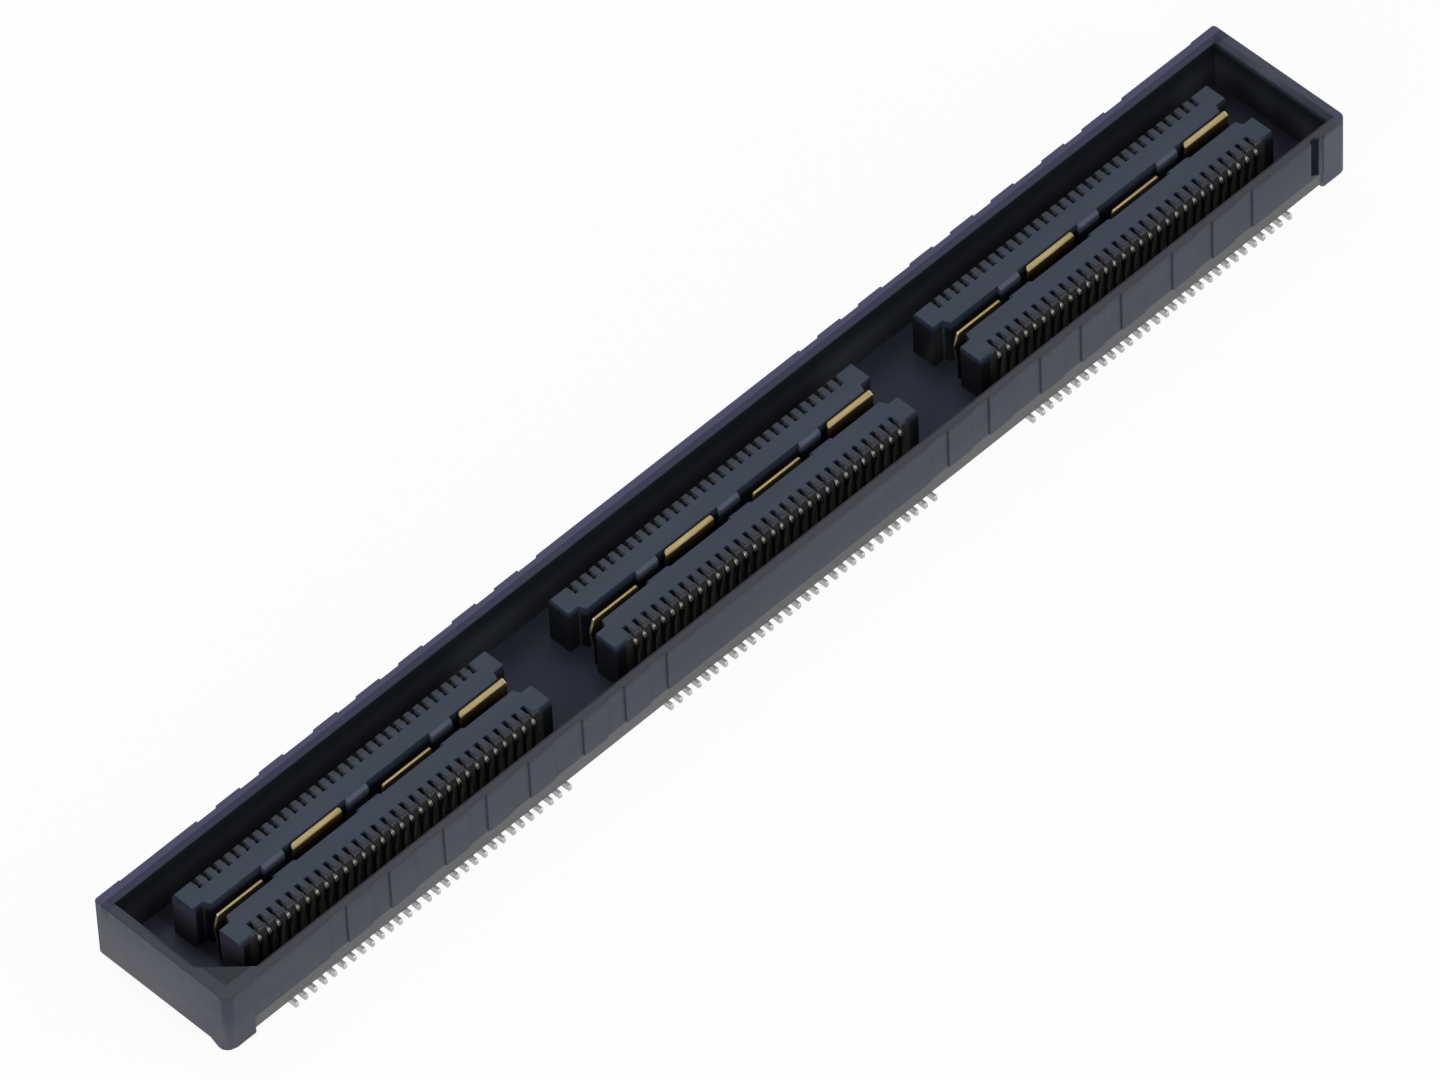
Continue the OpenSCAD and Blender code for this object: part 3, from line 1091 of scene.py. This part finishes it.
class RowTree:
    """Geometry Nodes that repeat one contact along X, each turned very slightly."""

    INPUTS = {
        "Count": "NodeSocketInt",
        "Pitch": "NodeSocketFloat",
        "First": "NodeSocketFloat",
        "Sway": "NodeSocketFloat",
        "Seed": "NodeSocketInt",
        "Finish": "NodeSocketMaterial",
    }

    def __init__(self) -> None:
        """Builds the tree once."""
        self.tree = bpy.data.node_groups.new("contact_row", "GeometryNodeTree")
        face = self.tree.interface
        face.new_socket(name="Geometry", in_out="INPUT", socket_type="NodeSocketGeometry")
        self.keys = {}
        for name, kind in self.INPUTS.items():
            socket = face.new_socket(name=name, in_out="INPUT", socket_type=kind)
            self.keys[name] = socket.identifier
        face.new_socket(name="Geometry", in_out="OUTPUT", socket_type="NodeSocketGeometry")
        self._wire()

    def _add(self, kind: str, inputs: dict[Any, Any] | None = None, **settings: Any) -> Node:
        """Adds a node, with what each input takes and the node's own properties."""
        return add_node(self.tree, kind, inputs or {}, settings)

    def _wire(self) -> None:
        """Joins the nodes."""
        start = self._add("NodeGroupInput").outputs
        first = self._add("ShaderNodeCombineXYZ", {"X": start["First"]}).outputs[0]
        step = self._add("ShaderNodeCombineXYZ", {"X": start["Pitch"]}).outputs[0]
        spread = {"Count": start["Count"], "Start Location": first, "Offset": step}
        line = self._add("GeometryNodeMeshLine", spread)
        chance = {2: -1.0, 3: 1.0, "Seed": start["Seed"]}
        turn = self._add("FunctionNodeRandomValue", chance, data_type="FLOAT")
        swing = self._add("ShaderNodeMath", {0: turn.outputs[1], 1: start["Sway"]}, operation="MULTIPLY")
        turned = self._add("ShaderNodeCombineXYZ", {"Z": swing.outputs[0]}).outputs[0]
        stamp = self._add(
            "GeometryNodeInstanceOnPoints",
            {"Points": line.outputs[0], "Instance": start["Geometry"], "Rotation": turned},
        )
        real = self._add("GeometryNodeRealizeInstances", {"Geometry": stamp.outputs[0]})
        finished = {"Geometry": real.outputs[0], "Material": start["Finish"]}
        dress = self._add("GeometryNodeSetMaterial", finished)
        self._add("NodeGroupOutput", {"Geometry": dress.outputs[0]})

    def apply(self, piece: Object, **values: Any) -> None:
        """Puts the tree on a piece.

        Args:
            piece: The piece that holds one contact.
            values: The tree's inputs by name.
        """
        modifier = piece.modifiers.new("row", "NODES")
        modifier.node_group = self.tree
        for name, value in values.items():
            modifier[self.keys[name]] = value


@dataclass
class GroundBlade:
    """One blade of the split ground plane."""

    layout: Layout
    bank: int
    blade: int
    length: float = 2.6
    thickness: float = 0.11
    root: float = 0.335
    heel_clearance: float = 0.03
    tab_reach: float = 0.45
    front_touch: Point = (0.10, 2.25)
    front_lip: Point = (0.11, 2.94)
    rear_touch: Point = (0.20, 2.76)
    rear_lip: Point = (0.345, 2.94)
    cut_length: float = 0.22
    cut_height: float = 0.7
    corner_radius: float = 0.18
    corner_top: float = 2.97
    corner_angles: tuple[float, ...] = (0, 15, 30)
    knee_round: float = 0.6
    front_round: float = 0.30
    rear_round: float = 0.07
    ease: float = 0.025

    def path(self) -> list[Point]:
        """The blade's middle line from solder tab to lip.

        Returns:
            Points in (out, up).
        """
        front = self.layout.blade_side(self.blade) is Side.FRONT
        touch = self.front_touch if front else self.rear_touch
        lip = self.front_lip if front else self.rear_lip
        bend = self.front_round if front else self.rear_round
        heel = self.thickness / 2 + self.heel_clearance
        knee = (self.root, self.layout.base_top + self.layout.leg_rise)
        turn = arc((self.root - heel, self.thickness / 2 + heel), heel, -90, 0, steps=6)
        return (
            [(-self.tab_reach, self.thickness / 2)]
            + turn
            + fillet(turn[-1], knee, touch, self.knee_round, steps=5)
            + fillet(knee, touch, lip, bend, steps=7)
            + self._upper(touch, lip)
            + [lip]
        )

    def _upper(self, touch: Point, lip: Point) -> list[Point]:
        """Points on the upper stretch, close together where the corners are rounded.

        Args:
            touch: Where the stretch starts.
            lip: Where it ends.

        Returns:
            Points in (out, up).
        """
        foot = self.corner_top - self.corner_radius
        heights = [foot + self.corner_radius * math.sin(math.radians(a)) for a in self.corner_angles]
        lean = (lip[0] - touch[0]) / (lip[1] - touch[1])
        return [(touch[0] + lean * (z - touch[1]), z) for z in heights]

    def _taken_off(self, height: float, at_bank_end: bool) -> float:
        """What an upper corner takes off the blade's length at a height.

        Args:
            height: The height.
            at_bank_end: Whether the corner is the long cut at the bank's end.

        Returns:
            The length taken off.
        """
        if at_bank_end:
            return self.cut_length * max(0.0, (height - self.corner_top + self.cut_height) / self.cut_height)
        rise = min(max(0.0, height - self.corner_top + self.corner_radius), self.corner_radius)
        return self.corner_radius - math.sqrt(self.corner_radius**2 - rise**2)

    def span(self, height: float) -> Span:
        """The blade's edges along X, with its upper corners taken off.

        Args:
            height: The height to look at.

        Returns:
            The lower and the upper X.
        """
        lay = self.layout
        middle = lay.bank_x(self.bank) + lay.blade_x(self.blade)
        low = middle - self.length / 2 + self._taken_off(height, self.blade == 1)
        high = middle + self.length / 2 - self._taken_off(height, self.blade == lay.blades_per_bank)
        return low, high

    def build(self, finish: Material) -> Object:
        """Builds the blade.

        Args:
            finish: The gold sheet's material.

        Returns:
            The blade.
        """
        node = f"bank{self.bank}_ground_blade_{self.blade}"
        name = f"bank{self.bank}_formed_blade_{self.blade}"
        side = self.layout.blade_side(self.blade)
        strip = BentStrip(self.path(), self.thickness, self.span, side, self.ease)
        blade = evened(as_piece(name, strip.mesh(name), finish))
        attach(blade, BODY)
        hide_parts(node)
        return blade


@dataclass
class MouldedHousing:
    """The housing's moulding with its edges eased as the tool leaves them."""

    layout: Layout
    ease: float = 0.03
    steps: int = 2
    sharp: float = 28.0
    floor_clear: float = 0.02
    outer_from: float = 3.17
    merge: float = 1e-4
    flat: float = 0.4

    def _eased(self, edge: bmesh.types.BMEdge) -> bool:
        """Whether an edge is an outer edge that the tool leaves eased.

        Args:
            edge: The edge.

        Returns:
            True for a sharp convex edge above the base plate or outside it.
        """
        if len(edge.link_faces) != 2:
            return False
        if edge.calc_face_angle_signed(0.0) < math.radians(self.sharp):
            return False
        low = min(v.co.z for v in edge.verts) / MM
        out = min(abs(v.co.y) for v in edge.verts) / MM
        return low > self.layout.base_top + self.floor_clear or out > self.outer_from

    def build(self, finish: Material) -> Object:
        """Builds the housing.

        Args:
            finish: The moulded plastic.

        Returns:
            The housing.
        """
        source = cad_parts["housing"]
        work = bmesh.new()
        work.from_mesh(source.data)
        bmesh.ops.remove_doubles(work, verts=work.verts, dist=self.merge * MM)
        flat = math.radians(self.flat)
        bmesh.ops.dissolve_limit(work, angle_limit=flat, verts=work.verts, edges=work.edges)
        edges = [e for e in work.edges if self._eased(e)]
        LOG.info("housing: %d faces, %d edges to ease", len(work.faces), len(edges))
        bmesh.ops.bevel(
            work, geom=edges, offset=self.ease * MM, offset_type="OFFSET", segments=self.steps,
            profile=0.5, affect="EDGES", clamp_overlap=False, miter_outer="SHARP", miter_inner="SHARP",
        )
        bmesh.ops.dissolve_degenerate(work, dist=self.merge * MM, edges=work.edges)
        name = "moulded_housing"
        housing = evened(as_piece(name, as_mesh(work, name), finish))
        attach(housing, BODY)
        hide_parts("housing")
        return housing


# Studio


@dataclass(frozen=True)
class SoftBox:
    """A square studio light that faces the part."""

    name: str
    azimuth: float
    elevation: float
    distance: float
    size: float
    power: float
    tint: Colour = (1.0, 1.0, 1.0)

    def build(self) -> None:
        """Hangs the light."""
        lamp = bpy.data.lights.new(self.name, "AREA")
        lamp.shape = "SQUARE"
        lamp.size = self.size
        lamp.energy = self.power
        lamp.color = self.tint
        holder = bpy.data.objects.new(self.name, lamp)
        bpy.context.scene.collection.objects.link(holder)
        back = outward(self.azimuth, self.elevation)
        holder.location = back * self.distance
        holder.rotation_mode = "QUATERNION"
        holder.rotation_quaternion = back.to_track_quat("Z", "Y")


def outward(azimuth: float, elevation: float) -> Vector:
    """The unit vector from the part to a viewer, by two angles in degrees."""
    a, e = math.radians(azimuth), math.radians(elevation)
    return Vector((math.sin(a) * math.cos(e), -math.cos(a) * math.cos(e), math.sin(e)))


@dataclass(frozen=True)
class Studio:
    """Table, world, lights and the photograph's camera."""

    table_size: float = 3.0
    world: Colour = (0.20, 0.21, 0.25)
    camera_at: Triple = (-250.0322, -267.1033, 426.9896)
    azimuth: float = -43.0152
    elevation: float = 49.346
    roll: float = -2.9124
    lens: float = 363.6786
    sensor: float = 36.0
    clip: Span = (0.05, 10.0)
    lights: tuple[SoftBox, ...] = (
        SoftBox("key", azimuth=-70.0, elevation=24.0, distance=0.60, size=0.40, power=1.95),
        SoftBox("front_fill", azimuth=28.0, elevation=22.0, distance=0.60, size=0.60, power=2.0),
        SoftBox(
            "rear_top", azimuth=150.0, elevation=62.0, distance=0.70, size=0.40, power=1.45,
            tint=(0.92, 0.95, 1.0),
        ),
    )

    def build(self) -> None:
        """Sets up everything round the part."""
        work = bmesh.new()
        bmesh.ops.create_grid(work, x_segments=1, y_segments=1, size=self.table_size / 2)
        table = as_piece("table", as_mesh(work, "table"), PaleTable().build())
        for light in self.lights:
            light.build()
        self._world()
        self._camera()

    def _world(self) -> None:
        """Lights the part evenly, and is white where it is seen or mirrored."""
        graph = Graph(bpy.data.worlds.new("studio"))
        colour = graph.mix(graph.backdrop(), self.world, (1.0, 1.0, 1.0))
        bpy.context.scene.world = graph.close(graph.node("ShaderNodeBackground", {"Color": colour}))

    def _camera(self) -> None:
        """Stands the camera where the photograph was taken from."""
        lens = bpy.data.cameras.new("camera")
        lens.sensor_width = self.sensor
        lens.lens = self.lens
        lens.clip_start, lens.clip_end = self.clip
        camera = bpy.data.objects.new("camera", lens)
        bpy.context.scene.collection.objects.link(camera)
        camera.location = Vector(self.camera_at) * MM
        look = (-outward(self.azimuth, self.elevation)).to_track_quat("-Z", "Y")
        camera.rotation_mode = "QUATERNION"
        camera.rotation_quaternion = look @ Quaternion((0.0, 0.0, 1.0), math.radians(self.roll))
        bpy.context.scene.camera = camera


def main() -> None:
    """Builds the dressed part in order and reports each piece."""
    logging.basicConfig(level=logging.INFO, format="%(name)s: %(message)s")
    bpy.context.scene.view_settings.view_transform = "Standard"
    layout = Layout()
    strip, sheet, plastic = PlatedStrip().build(), GoldSheet().build(), MouldedPlastic().build()
    pieces = [MouldedHousing(layout).build(plastic)]
    tree = RowTree()
    for bank in range(1, layout.banks + 1):
        for side in Side:
            pieces.append(ContactRow(layout, bank, side).build(tree, strip))
        for blade in range(1, layout.blades_per_bank + 1):
            pieces.append(GroundBlade(layout, bank, blade).build(sheet))
    for piece in pieces:
        piece.data.calc_loop_triangles()
        LOG.info("%s: %d triangles", piece.name, len(piece.data.loop_triangles))
    Studio().build()


if __name__ == "__main__":
    main()
